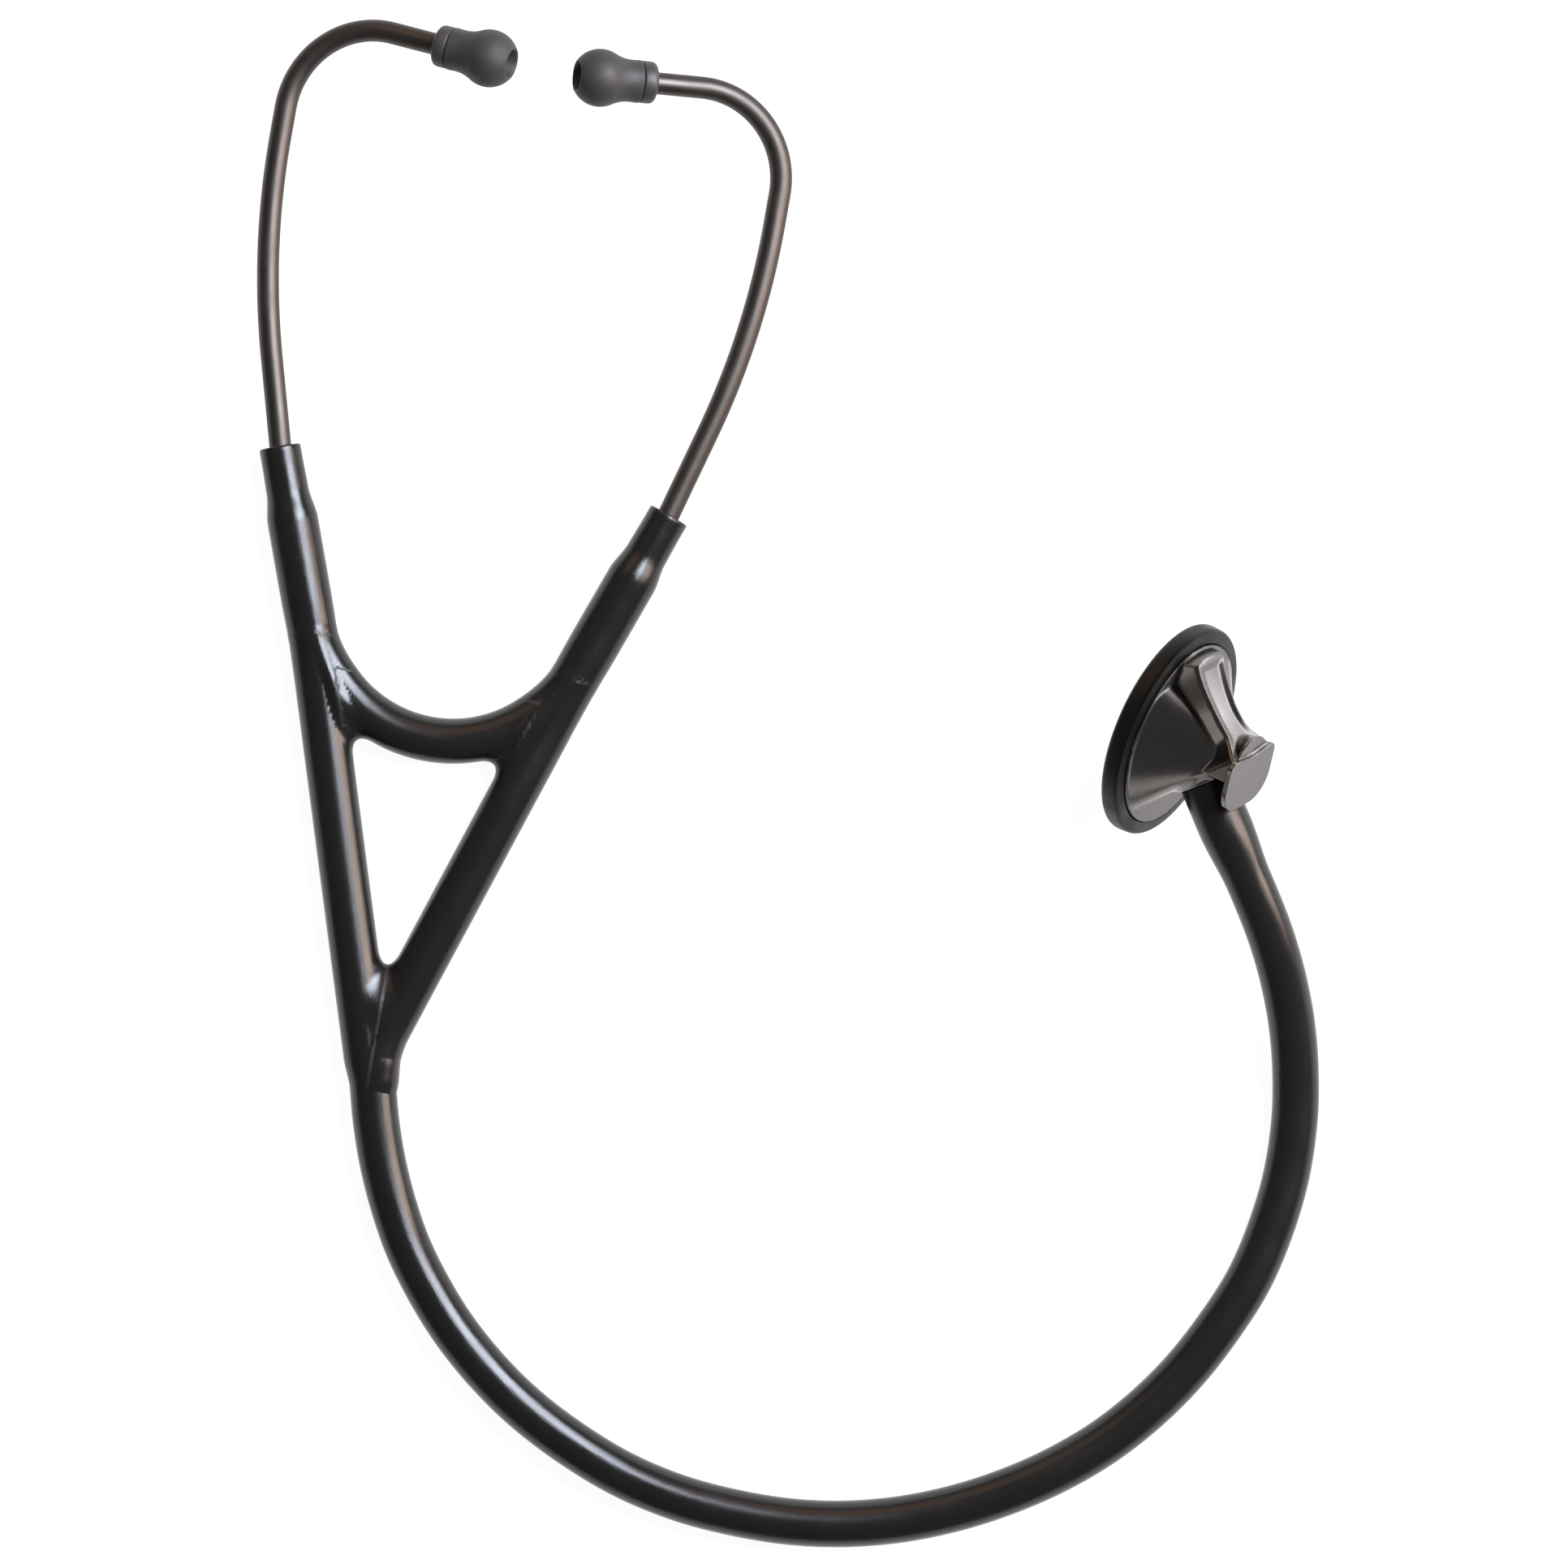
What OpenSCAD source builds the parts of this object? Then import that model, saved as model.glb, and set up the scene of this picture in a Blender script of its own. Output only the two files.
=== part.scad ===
// Single-sided stethoscope lying flat, its chestpiece standing on the edge of its rim.
// Millimetres, +Z up, the surface it lies on is z = 0.

/* [Hose] */
// Outer diameter of the hose
hose_d = 10.8; // [9:0.1:13]
// Outer diameter of the hose where it is stretched over the stem
hose_flare_d = 12.5; // [12:0.1:15]

/* [Yoke] */
// Diameter of the two legs of the yoke
leg_d = 10.8; // [9:0.1:12]
// Diameter of the moulding where the legs meet
junction_d = 11.8; // [11:0.1:14]
// Distance from the junction to the bend of each arm, along the headset
shoulder_y = 93; // [80:1:115]
// Distance from the headset's middle line to the bend of each arm
shoulder_x = 30.6; // [26:0.1:38]
// Radius of the bridge's middle line
bridge_r = 32.2; // [28:0.1:38]
// Diameter of the bridge
bridge_d = 10.6; // [9:0.1:12]
// Diameter of the sound channels
channel_d = 3.6; // [3:0.1:4]

/* [Arm sleeves] */
// Angle of each arm from the headset's middle line
arm_angle = 20; // [15:1:26]
// Diameter of the lower part of each sleeve
sleeve_d = 11.8; // [11:0.1:14]
// Diameter of the upper part of each sleeve
sleeve_top_d = 9.9; // [9.4:0.1:11.4]
// Distance from the bend to the sleeve's mouth
sleeve_len = 43.7; // [38:0.1:55]
// Length of the slim upper part of the sleeve
sleeve_top_len = 11; // [8:0.5:19]
// Diameter of the flared mouth around the ear tube
mouth_d = 7.4; // [6.6:0.1:7.8]
// Depth of the flared mouth
mouth_depth = 5; // [2:0.5:8]
// How far the ear tube goes into the sleeve
grip_len = 28; // [20:1:32]

/* [Leaf spring] */
// Thickness of the spring steel
spring_t = 0.8; // [0.5:0.1:1]
// Width of the spring steel
spring_w = 5; // [4:0.5:6]
// Length of each spring leg inside its sleeve
spring_leg_len = 20; // [12:1:26]

/* [Ear tubes] */
// Outer diameter of the ear tubes
tube_d = 5.1; // [4.6:0.1:5.6]
// Inner diameter of the ear tubes
tube_bore_d = 3.5; // [3.2:0.1:3.8]
// Radius of the slight bend at the sleeve's mouth
neck_bend_r = 60; // [40:1:90]
// Angle of the slight bend at the sleeve's mouth
neck_bend_angle = 4.5; // [2:0.5:8]
// Straight length above the sleeve
neck_straight = 20; // [10:1:35]
// Radius of the long outward curve
long_bend_r = 188; // [150:1:260]
// Straight length between the long curve and the bend inward
shoulder_straight = 7; // [3:0.5:15]
// Radius of the bend that turns each tube inward
ear_bend_r = 20.7; // [17:0.1:26]
// Angle of the bend that turns each tube inward
ear_bend_angle = 95.6; // [85:0.1:105]
// Forward tilt of the ear ends, out of the headset's plane
ear_tilt = 17; // [0:1:25]
// Straight length between the bend and the eartip
ear_straight = 11.4; // [11:0.1:20]

/* [Eartips] */
// Diameter of the eartip's ball
ball_d = 13.3; // [12:0.1:16]
// Diameter of the eartip's skirt
skirt_d = 10.2; // [9.2:0.1:11.4]
// Diameter of the collar
collar_d = 9.7; // [8:0.1:11]
// Length of the collar
collar_len = 3.4; // [2.5:0.1:4.5]
// Length of the eartip without its collar
tip_len = 15.2; // [14:0.1:20]
// Diameter of the eartip's opening
tip_mouth_d = 7.2; // [5:0.1:8]
// Length of the ribbed ferrule inside the eartip
ferrule_len = 8; // [6:0.5:9]

/* [Chestpiece body] */
// Diameter of the metal body at its edge
body_d = 43.8; // [36:0.1:53]
// Diameter of the neck under the finger pad
neck_d = 10.4; // [9:0.1:13]
// Height at which the flank runs into the neck
flank_h = 15.5; // [14:0.5:17]
// Distance from the axis to the foot of the two flat cheeks of the flank
cheek_x = 15.6; // [13:0.1:18]
// Height of the finger pad's face above the body's edge
pad_h = 19.9; // [19:0.1:24]
// Thickness of the finger pad's edge
pad_t = 1.2; // [0.8:0.1:2]
// Length of the finger pad across the spine
pad_w = 19; // [16:0.1:23]
// Width of the spine
spine_w = 9.8; // [7:0.1:12]
// Height of the spine's foot at the far edge
spine_foot_h = 2.9; // [1.5:0.1:4]
// Depth of the hollow curve of the spine
spine_sag = 1.8; // [0.5:0.1:3]
// Angle between the stem and the diaphragm
stem_angle = 40.5; // [35:0.5:45]

/* [Rim and diaphragm] */
// How far the soft rim reaches past the metal body
rim_reach = 3.6; // [2.6:0.1:6]
// Thickness of the soft rim
rim_t = 4.6; // [4.2:0.1:6]
// Rounding of the rim's outer edges
rim_round = 1.5; // [0.5:0.1:1.9]
// How far the diaphragm's edge stays inside the metal body
diaphragm_inset = 2.2; // [1.9:0.1:2.9]
// Thickness of the diaphragm
diaphragm_t = 0.4; // [0.3:0.05:0.6]
// How far the diaphragm sinks when pressed
diaphragm_travel = 0.5; // [0.2:0.1:0.6]

/* [Stem] */
// Outer diameter of the stem
stem_d = 6.4; // [6:0.1:7]
// Sound bore of the stem
stem_bore_d = 3; // [2.4:0.1:3.2]
// Length of the stem inside the hose
stem_in_hose = 15; // [10:0.5:18]
// Length of the stem inside the chestpiece
stem_in_body = 8.5; // [8:0.1:9]

/* [Fits] */
// Radial clearance of parts that turn or slide on each other
running_gap = 0.05; // [0.02:0.01:0.1]
// Open gap between parts that move past each other
free_gap = 0.3; // [0.3:0.05:0.5]

/* [Hidden] */

$fn = 64;
eps = 0.01;
through = 1;

// Route of the hose's middle line, from the yoke to the stem.
hose_route = [
    [-89.8, -122.5, 5.9], [-89, -131.5, 5.8], [-87.5, -141, 5.5], [-85, -151, 5.4],
    [-81.5, -161, 5.4], [-76.5, -171, 5.4], [-70.5, -180.5, 5.4], [-63, -189.7, 5.4],
    [-54.5, -198, 5.4], [-44, -206, 5.4], [-32, -213.2, 5.4], [-19, -218.6, 5.4],
    [-6, -222, 5.4], [6.5, -224, 5.4], [19, -224.5, 5.4], [31.5, -223.5, 5.4],
    [44, -221, 5.4], [56, -217.2, 5.4], [67.5, -212.2, 5.4], [78.5, -205.8, 5.4],
    [88.5, -198, 5.4], [97.5, -189, 5.4], [105.3, -179, 5.4], [112, -168.5, 5.4],
    [117, -157, 5.4], [120.7, -144.5, 5.5], [122.6, -131.5, 6.4], [122.7, -119.5, 8.4],
    [121.6, -108.5, 11.2], [119.5, -98.5, 14.4], [116.6, -89, 17.6], [113, -80, 20.5],
    [109, -71, 22.8], [105, -62, 24.3], [101.5, -53.5, 25],
];
hose_sides = 12;
last_ring = len(hose_route) - 1;

// Where the headset lies: its junction, the height of its plane and its turn.
junction_at = [-89.6, -116.2, junction_d / 2];
headset_turn = -10;

// Where the chestpiece points: its tilt line, its tilt, and its turn about its own axis.
tilt_line_turn = 64.3;
chest_tilt = 65;
chest_spin = 30;

// Place of the hose's end in the chestpiece's frame.
stem_foot_x = 8.3;
stem_foot_h = 9.45;

leg_angle = atan(shoulder_x / shoulder_y);
leg_len = norm([shoulder_x, shoulder_y]);
knuckle_r = sleeve_d / 2 + free_gap;
grip_end = sleeve_len - mouth_depth + 1;
tube_start = sleeve_len - grip_len;
body_r = body_d / 2;
neck_r = neck_d / 2;
rim_r = body_r + rim_reach;
diaphragm_r = body_r - diaphragm_inset;

// Axial stations of the chestpiece, measured from the top of the body's edge.
rim_back = -0.4;
rim_front = rim_back - rim_t;
flange_t = 1.2;
flange_overhang = 1.1;
flange_top = -flange_t;
seat = flange_top - flange_t;
lip_t = 0.8;
diaphragm_front = rim_front + 0.2;

// ---------- helpers ----------

module headset() {
    translate(junction_at) rotate([0, 0, headset_turn]) children();
}

module left() {
    headset() mirror([1, 0, 0]) children();
}

module right() {
    headset() children();
}

// Heads along the right arm from its bend: +Z along the arm, +X towards the middle, +Y up.
module along_arm() {
    translate([shoulder_x, shoulder_y, 0]) rotate([90, 0, 180 - arm_angle]) children();
}

// The runs of an ear tube above its grip: [straight length or bend radius, bend angle, roll].
ear_runs = [
    [neck_bend_r, neck_bend_angle, 0],
    [neck_straight, 0, 0],
    [long_bend_r, arm_angle - neck_bend_angle, 0],
    [shoulder_straight, 0, 0],
    [ear_bend_r, ear_bend_angle, ear_tilt],
    [ear_straight, 0, 0],
];

// Continues past one run that starts along +Z and bends towards +X.
module after_run(run) {
    if (run[1] == 0) translate([0, 0, run[0]]) children();
    else rotate([0, 0, run[2]])
        translate([run[0] * (1 - cos(run[1])), 0, run[0] * sin(run[1])]) rotate([0, run[1], 0]) children();
}

module after_runs(i = 0) {
    if (i < len(ear_runs)) after_run(ear_runs[i]) after_runs(i + 1) children();
    else children();
}

// A round bend, from the origin along +Z towards +X.
module bend(r, angle, d) {
    translate([r, 0, 0]) rotate([-90, 0, 0]) rotate([0, 0, 180])
        rotate_extrude(angle = angle, $fn = 96) translate([r, 0]) circle(d = d);
}

// Puts its children at the eartip end of the right ear tube, +Z along the eartip.
module at_ear_end() {
    along_arm() translate([0, 0, grip_end]) after_runs() children();
}

// The chestpiece's own frame: +Z away from the diaphragm, -X towards the stem.
module chest() {
    translate(hose_route[last_ring])
        rotate([0, 0, tilt_line_turn]) rotate([chest_tilt, 0, 0]) rotate([0, 0, chest_spin])
            translate([stem_foot_x, 0, -stem_foot_h]) children();
}

// Heads out of the chestpiece along the stem, from the end of the hose.
module along_stem() {
    translate([-stem_foot_x, 0, stem_foot_h]) rotate([0, stem_angle - 90, 0]) children();
}

// ---------- hose ----------

function unit(v) = v / norm(v);
function tangent(i) =
    unit(hose_route[min(i + 1, last_ring)] - hose_route[max(i - 1, 0)]);
function side_of(t) = unit(cross(t, [0, 0, 1]));
function ring_r(i) =
    i == last_ring ? hose_flare_d / 2
    : i == last_ring - 1 ? hose_flare_d / 2 - 0.1
    : i == last_ring - 2 ? hose_d / 2 + 0.2
    : hose_d / 2;
function ring(i) =
    let (t = tangent(i), s = side_of(t), w = cross(s, t))
    [for (k = [0:hose_sides - 1])
        hose_route[i] + ring_r(i) * (cos(k * 360 / hose_sides) * s + sin(k * 360 / hose_sides) * w)];
hose_points = [for (i = [0:last_ring]) each ring(i)];
hose_faces = concat(
    [[for (k = [0:hose_sides - 1]) k]],
    [[for (k = [hose_sides - 1:-1:0]) last_ring * hose_sides + k]],
    [for (i = [0:last_ring - 1], k = [0:hose_sides - 1])
        let (a = i * hose_sides, b = a + hose_sides, n = (k + 1) % hose_sides)
        [a + n, a + k, b + k, b + n]]
);

module hose() {
    color("#1b1b1d") difference() {
        polyhedron(hose_points, hose_faces, convexity = 10);
        chest() along_stem() translate([0, 0, -through]) cylinder(d = stem_d, h = stem_in_hose + through);
    }
}

// ---------- yoke ----------

module half_yoke() {
    rotate([-90, 0, 0]) rotate([0, leg_angle, 0]) cylinder(d = leg_d, h = leg_len);
    translate([shoulder_x, shoulder_y, 0]) knuckle();
}

// Upright round end of a leg, on which the sleeve's hollow end turns.
module knuckle() {
    edge = 2;
    r = knuckle_r - free_gap;
    rotate_extrude() hull() for (z = [-1, 1]) {
        translate([r - edge, z * (sleeve_d / 2 - edge)]) circle(edge, $fn = 24);
        translate([0, z * (sleeve_d / 2 - edge) - edge]) square([1, edge * 2]);
    }
}

bridge_half_angle = 50;
bridge_centre_y = shoulder_y + 12.9;

module bridge_arc(half_angle) {
    translate([0, bridge_centre_y, 0]) rotate([0, 0, -90 - half_angle])
        rotate_extrude(angle = 2 * half_angle, $fn = 96) translate([bridge_r, 0]) children();
}

module yoke_stem() {
    t = unit(hose_route[0] - hose_route[1]);
    translate(hose_route[0]) rotate([0, 90, atan2(t.y, t.x)])
        cylinder(d = junction_d - 0.6, h = norm(hose_route[0] - junction_at));
}

module leaf_shape(slack) {
    bridge_arc(bridge_half_angle - 4) square([spring_t + slack, spring_w + slack], center = true);
}

module yoke() {
    color("#1b1b1d") difference() {
        union() {
            headset() {
                half_yoke();
                mirror([1, 0, 0]) half_yoke();
                bridge_arc(bridge_half_angle) circle(d = bridge_d);
                sphere(d = junction_d);
            }
            yoke_stem();
        }
        headset() {
            leaf_shape(eps);
            for (side = [0, 1]) mirror([side, 0, 0]) {
                rotate([-90, 0, 0]) rotate([0, leg_angle, 0])
                    cylinder(d = channel_d, h = leg_len);
                along_arm() cylinder(d = channel_d, h = knuckle_r + through);
            }
        }
    }
}

module leaf_spring() {
    color("silver") headset() leaf_shape(0);
}

// ---------- arms ----------

sleeve_neck = sleeve_len - sleeve_top_len;
leg_start = knuckle_r + 2;
leg_offset = tube_d / 2 + 0.5 + spring_t / 2;

module spring_leg() {
    along_arm() translate([leg_offset - spring_t / 2, -spring_w / 2, leg_start])
        cube([spring_t, spring_w, spring_leg_len]);
}

module sleeve() {
    difference() {
        along_arm() rotate_extrude() polygon([
            [0, 0], [sleeve_d / 2, 0], [sleeve_d / 2, sleeve_neck - 6],
            [sleeve_d / 2 - 0.3, sleeve_neck - 3], [sleeve_top_d / 2, sleeve_neck],
            [sleeve_top_d / 2, sleeve_len], [0, sleeve_len],
        ]);
        translate([shoulder_x, shoulder_y, 0]) cylinder(r = knuckle_r, h = 2 * sleeve_d, center = true);
        along_arm() {
            cylinder(d = channel_d, h = sleeve_len);
            translate([0, 0, tube_start]) cylinder(d = tube_d, h = sleeve_len);
            translate([0, 0, sleeve_len - mouth_depth]) cylinder(d = mouth_d, h = mouth_depth + through);
        }
        spring_leg();
    }
}

tube_past_collar = 2;
land_len = 1;
land_extra = 0.02;

// An ear tube as a round bar. Short lands, a hair wider, join its runs.
module ear_bar(d, i = 0) {
    if (i < len(ear_runs)) {
        run = ear_runs[i];
        translate([0, 0, -land_len / 2]) cylinder(d = d + land_extra, h = land_len);
        if (run[1] == 0) cylinder(d = d, h = run[0] + (i == len(ear_runs) - 1 ? tube_past_collar : 0));
        else rotate([0, 0, run[2]]) bend(run[0], run[1], d);
        after_run(run) ear_bar(d, i + 1);
    }
}

module tube_run(d) {
    along_arm() {
        translate([0, 0, tube_start]) cylinder(d = d, h = grip_end - tube_start);
        translate([0, 0, grip_end]) ear_bar(d);
    }
}

module ear_tube() {
    difference() {
        tube_run(tube_d);
        tube_run(tube_bore_d);
    }
}

spigot_len = 6;

module tip_ferrule() {
    rib = ferrule_len / 8;
    at_ear_end() translate([0, 0, tube_past_collar]) rotate_extrude() difference() {
        union() {
            translate([0, -spigot_len]) square([tube_bore_d / 2, spigot_len + through]);
            square([tube_d / 2, ferrule_len]);
        }
        translate([-through, -spigot_len - through])
            square([tube_bore_d / 2 - 0.5 + through, ferrule_len + spigot_len + 2 * through]);
        for (k = [1, 3, 5]) translate([tube_d / 2 - 0.35, k * rib]) square([1, rib]);
    }
}

seat_r = tube_d / 2 + running_gap;

module tip_collar() {
    back_round = 1.2;
    at_ear_end() rotate_extrude() difference() {
        hull() {
            translate([collar_d / 2 - back_round, back_round]) circle(back_round);
            square([1, collar_len]);
            translate([collar_d / 2 - 0.5, collar_len - 0.5]) square(0.5);
        }
        translate([-through, -through]) square([seat_r + through, collar_len + 2 * through]);
    }
}

module eartip() {
    ball_r = ball_d / 2;
    tip_end = collar_len + tip_len;
    mouth_r = tip_mouth_d / 2;
    ball_at = tip_end - sqrt(ball_r * ball_r - mouth_r * mouth_r);
    waist_angle = 140;
    front_angle = asin(mouth_r / ball_r);
    socket_end = tube_past_collar + ferrule_len + 0.5;
    at_ear_end() rotate_extrude() difference() {
        polygon(concat(
            [[0, collar_len], [skirt_d / 2, collar_len], [skirt_d / 2 - 0.1, collar_len + 2.5]],
            [for (k = [0:24]) let (a = waist_angle + (front_angle - waist_angle) * k / 24)
                [ball_r * sin(a), ball_at + ball_r * cos(a)]],
            [[0, tip_end]]
        ));
        translate([-through, 0]) square([seat_r + through, socket_end]);
        polygon([
            [0, 0], [1.9, 0], [1.9, ball_at + 1], [mouth_r - 0.4, tip_end - 0.6],
            [mouth_r - 0.3, tip_end + through], [0, tip_end + through],
        ]);
    }
}

module left_sleeve() { color("#1b1b1d") left() sleeve(); }
module right_sleeve() { color("#1b1b1d") right() sleeve(); }
module left_spring_leg() { color("silver") left() spring_leg(); }
module right_spring_leg() { color("silver") right() spring_leg(); }
module left_ear_tube() { color("#4a4542") left() ear_tube(); }
module right_ear_tube() { color("#4a4542") right() ear_tube(); }
module left_tip_ferrule() { color("silver") left() tip_ferrule(); }
module right_tip_ferrule() { color("silver") right() tip_ferrule(); }
module left_tip_collar() { color("#303034") left() tip_collar(); }
module right_tip_collar() { color("#303034") right() tip_collar(); }
module left_eartip() { color("#3a3a3d") left() eartip(); }
module right_eartip() { color("#3a3a3d") right() eartip(); }

// ---------- chestpiece ----------

flank_steps = 10;
flank_hollow = 1.4;
cheek_hollow = 1.15;
cheek_top_x = 2;

function flank_r(h) = neck_r + (body_r - neck_r) * pow(1 - h / flank_h, flank_hollow);
function cheek(h) = cheek_top_x + (cheek_x - cheek_top_x) * pow(1 - h / flank_h, cheek_hollow);

// Half section of the flange and edge that carry the rim.
module flange_section() {
    polygon([[0, seat], [body_r + flange_overhang, seat], [body_r + flange_overhang, flange_top],
        [body_r, flange_top], [body_r, 0], [0, 0]]);
}

// Half section of the hollow-sided cone.
module flank_section() {
    polygon(concat(
        [[0, -0.5], [body_r - 0.4, -0.5]],
        [for (k = [0:flank_steps - 1]) let (h = flank_h * k / flank_steps) [flank_r(h) - 0.4, h]],
        [[0, flank_h * (flank_steps - 1) / flank_steps]]
    ));
}

// Half section of the neck, which widens under the finger pad.
module neck_section() {
    polygon([[0, 0], [neck_r, 0], [neck_r, flank_h - 1], [neck_r + 2, pad_h - pad_t],
        [neck_r + 2, pad_h - eps], [0, pad_h - eps]]);
}

// Side view of what is cut away to leave one flat cheek.
module cheek_cut() {
    rotate([90, 0, 0]) linear_extrude(4 * body_r, center = true) polygon(concat(
        [for (k = [0:5]) let (h = flank_h * k / 5) [cheek(h), h]],
        [[body_r + 1, flank_h], [body_r + 1, 0]]
    ));
}

// Side view of the spine: a hollow curve from the far edge up to the finger pad.
module spine_section() {
    foot = [body_r - 0.5, spine_foot_h];
    top = [pad_front_x - 0.4, pad_h - pad_t];
    across = unit([foot.y - top.y, top.x - foot.x]);
    polygon(concat(
        [[0, 0], [foot.x, 0]],
        [for (k = [0:12]) let (t = k / 12) foot + t * (top - foot) + 4 * spine_sag * t * (1 - t) * across],
        [[0, pad_h - pad_t]]
    ));
}

pad_back_x = -9.4;
pad_front_x = 3.8;

module pad_outline() {
    back_round = 6.5;
    front_round = 1.5;
    hull() for (side = [-1, 1]) {
        translate([pad_back_x + back_round, side * (pad_w / 2 - back_round)]) circle(back_round);
        translate([pad_front_x - front_round, side * (pad_w / 2 - 2.6)]) circle(front_round);
    }
}

// Faired boss that holds the stem, kept inside the body's own outline.
module boss() {
    boss_len = 7;
    intersection() {
        along_stem() translate([0, 0, -free_gap - boss_len])
            cylinder(d1 = hose_flare_d + 5, d2 = hose_flare_d + 0.8, h = boss_len);
        translate([0, 0, -1]) cylinder(r = body_r, h = pad_h);
    }
}

module chestpiece_body() {
    cavity_d = 2 * diaphragm_r - 3;
    color("#55504c") chest() difference() {
        union() {
            rotate_extrude($fn = 128) flange_section();
            difference() {
                rotate_extrude($fn = 128) flank_section();
                cheek_cut();
                mirror([1, 0, 0]) cheek_cut();
            }
            rotate_extrude() neck_section();
            translate([0, spine_w / 2, 0]) rotate([90, 0, 0]) linear_extrude(spine_w) spine_section();
            translate([0, 0, pad_h - pad_t]) linear_extrude(pad_t) pad_outline();
            boss();
        }
        // Bell-shaped cavity over the diaphragm.
        translate([0, 0, seat - eps]) cylinder(d1 = cavity_d, d2 = 6, h = 2);
        along_stem() {
            // Room for the stretched end of the hose.
            translate([0, 0, -free_gap])
                cylinder(r = hose_flare_d / 2 + free_gap, h = 4 * stem_in_hose);
            translate([0, 0, -free_gap - stem_in_body - 0.4])
                cylinder(r = stem_d / 2 + running_gap, h = stem_in_body + 0.4 + through);
            translate([0, 0, clip_at - clip_t / 2 - free_gap])
                cylinder(r = clip_r + free_gap, h = clip_t + 2 * free_gap);
            translate([0, 0, -20]) cylinder(d = stem_bore_d, h = 20);
        }
    }
}

// ---------- stem ----------

seal_at = -3.3;
seal_t = 1;
clip_at = -6.6;
clip_t = 0.8;
clip_r = stem_d / 2 + 0.5;
groove_r = stem_d / 2 - 1;

module stem() {
    color("#8a8a8a") chest() along_stem() rotate_extrude() difference() {
        translate([stem_bore_d / 2, -free_gap - stem_in_body])
            square([(stem_d - stem_bore_d) / 2, stem_in_body + free_gap + stem_in_hose]);
        translate([groove_r, seal_at - seal_t / 2]) square([2, seal_t]);
        translate([groove_r, clip_at - clip_t / 2]) square([2, clip_t]);
    }
}

module stem_seal() {
    color("#151515") chest() along_stem() translate([0, 0, seal_at])
        rotate_extrude() translate([groove_r + seal_t / 2, 0]) circle(d = seal_t);
}

module stem_clip() {
    opening = 3;
    color("silver") chest() along_stem() translate([0, 0, clip_at - clip_t / 2]) difference() {
        cylinder(r = clip_r, h = clip_t);
        translate([0, 0, -through]) cylinder(r = groove_r, h = clip_t + 2 * through);
        translate([0, -opening / 2, -through]) cube([2 * clip_r, opening, clip_t + 2 * through]);
    }
}

// ---------- rim and diaphragm ----------

pocket_r = body_r - 0.3;
lip_r = diaphragm_r + 0.4;

module rim_section() {
    difference() {
        hull() {
            translate([rim_r - rim_round, rim_back - rim_round]) circle(rim_round);
            translate([rim_r - rim_round, rim_front + rim_round]) circle(rim_round);
            translate([lip_r, rim_front]) square([1, rim_t]);
        }
        // Seat of the body's flange, and the opening in the back lip.
        translate([0, seat]) square([body_r + flange_overhang, -seat + flange_top]);
        translate([0, seat]) square([body_r, 5]);
        // Pocket in which the diaphragm's surround moves.
        translate([0, rim_front + lip_t]) square([pocket_r, seat - rim_front - lip_t + eps]);
    }
}

module rim() {
    color("#2c2c2e") chest() rotate_extrude($fn = 128) rim_section();
}

surround_out = pocket_r - 0.4;
surround_t = 0.5;
surround_z = rim_front + lip_t + free_gap;

module diaphragm_surround() {
    inner = diaphragm_r - 1;
    disc_back = diaphragm_front + diaphragm_t;
    color("#202022") chest() rotate_extrude($fn = 128) union() {
        translate([inner, disc_back]) square([1, surround_z + surround_t - disc_back]);
        translate([inner, surround_z]) square([surround_out - inner, surround_t]);
    }
}

module diaphragm() {
    color("#d8d8d4") chest() translate([0, 0, diaphragm_front])
        cylinder(r = diaphragm_r, h = diaphragm_t, $fn = 128);
}

yoke();
leaf_spring();
hose();
stem();
stem_seal();
stem_clip();
left_sleeve();
left_spring_leg();
left_ear_tube();
left_tip_ferrule();
left_tip_collar();
left_eartip();
right_sleeve();
right_spring_leg();
right_ear_tube();
right_tip_ferrule();
right_tip_collar();
right_eartip();
chestpiece_body();
rim();
diaphragm_surround();
diaphragm();
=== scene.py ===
# %% [markdown]
# # A stethoscope, piece by piece
#
# The stethoscope lies on a table and is seen from straight above. The frame holds its working
# parts, in metres, with the table at z = 0. Each cell below makes one piece or one finish.

# %% Frame
import bpy
import math
import numpy as np
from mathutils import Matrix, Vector


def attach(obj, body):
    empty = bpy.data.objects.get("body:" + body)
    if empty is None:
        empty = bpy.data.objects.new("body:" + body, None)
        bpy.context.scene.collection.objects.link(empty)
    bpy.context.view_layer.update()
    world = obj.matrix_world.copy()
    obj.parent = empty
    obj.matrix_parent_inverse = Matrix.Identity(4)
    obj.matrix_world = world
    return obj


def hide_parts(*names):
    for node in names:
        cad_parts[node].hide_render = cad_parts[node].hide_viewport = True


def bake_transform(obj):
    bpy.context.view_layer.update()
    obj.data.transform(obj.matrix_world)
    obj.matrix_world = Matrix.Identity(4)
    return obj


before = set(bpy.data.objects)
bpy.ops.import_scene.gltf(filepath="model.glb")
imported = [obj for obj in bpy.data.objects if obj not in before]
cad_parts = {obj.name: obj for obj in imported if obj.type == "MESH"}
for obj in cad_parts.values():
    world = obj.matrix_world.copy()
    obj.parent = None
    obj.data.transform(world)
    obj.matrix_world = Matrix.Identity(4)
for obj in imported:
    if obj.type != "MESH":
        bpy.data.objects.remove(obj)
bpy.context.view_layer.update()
scene = bpy.context.scene
MM = 0.001

# %% [markdown]
# ## Camera
#
# A long lens from two metres straight above keeps every tube at its true width. A short lens
# from close by would show more of the tubes' sides, and would make the chestpiece, which
# stands up, larger than the headset. The picture is 360 mm wide at the height of the hose.

# %% Camera
PICTURE_WIDTH = 0.3602
CAMERA_HEIGHT = 2.0
SENSOR_WIDTH = 36.0

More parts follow.
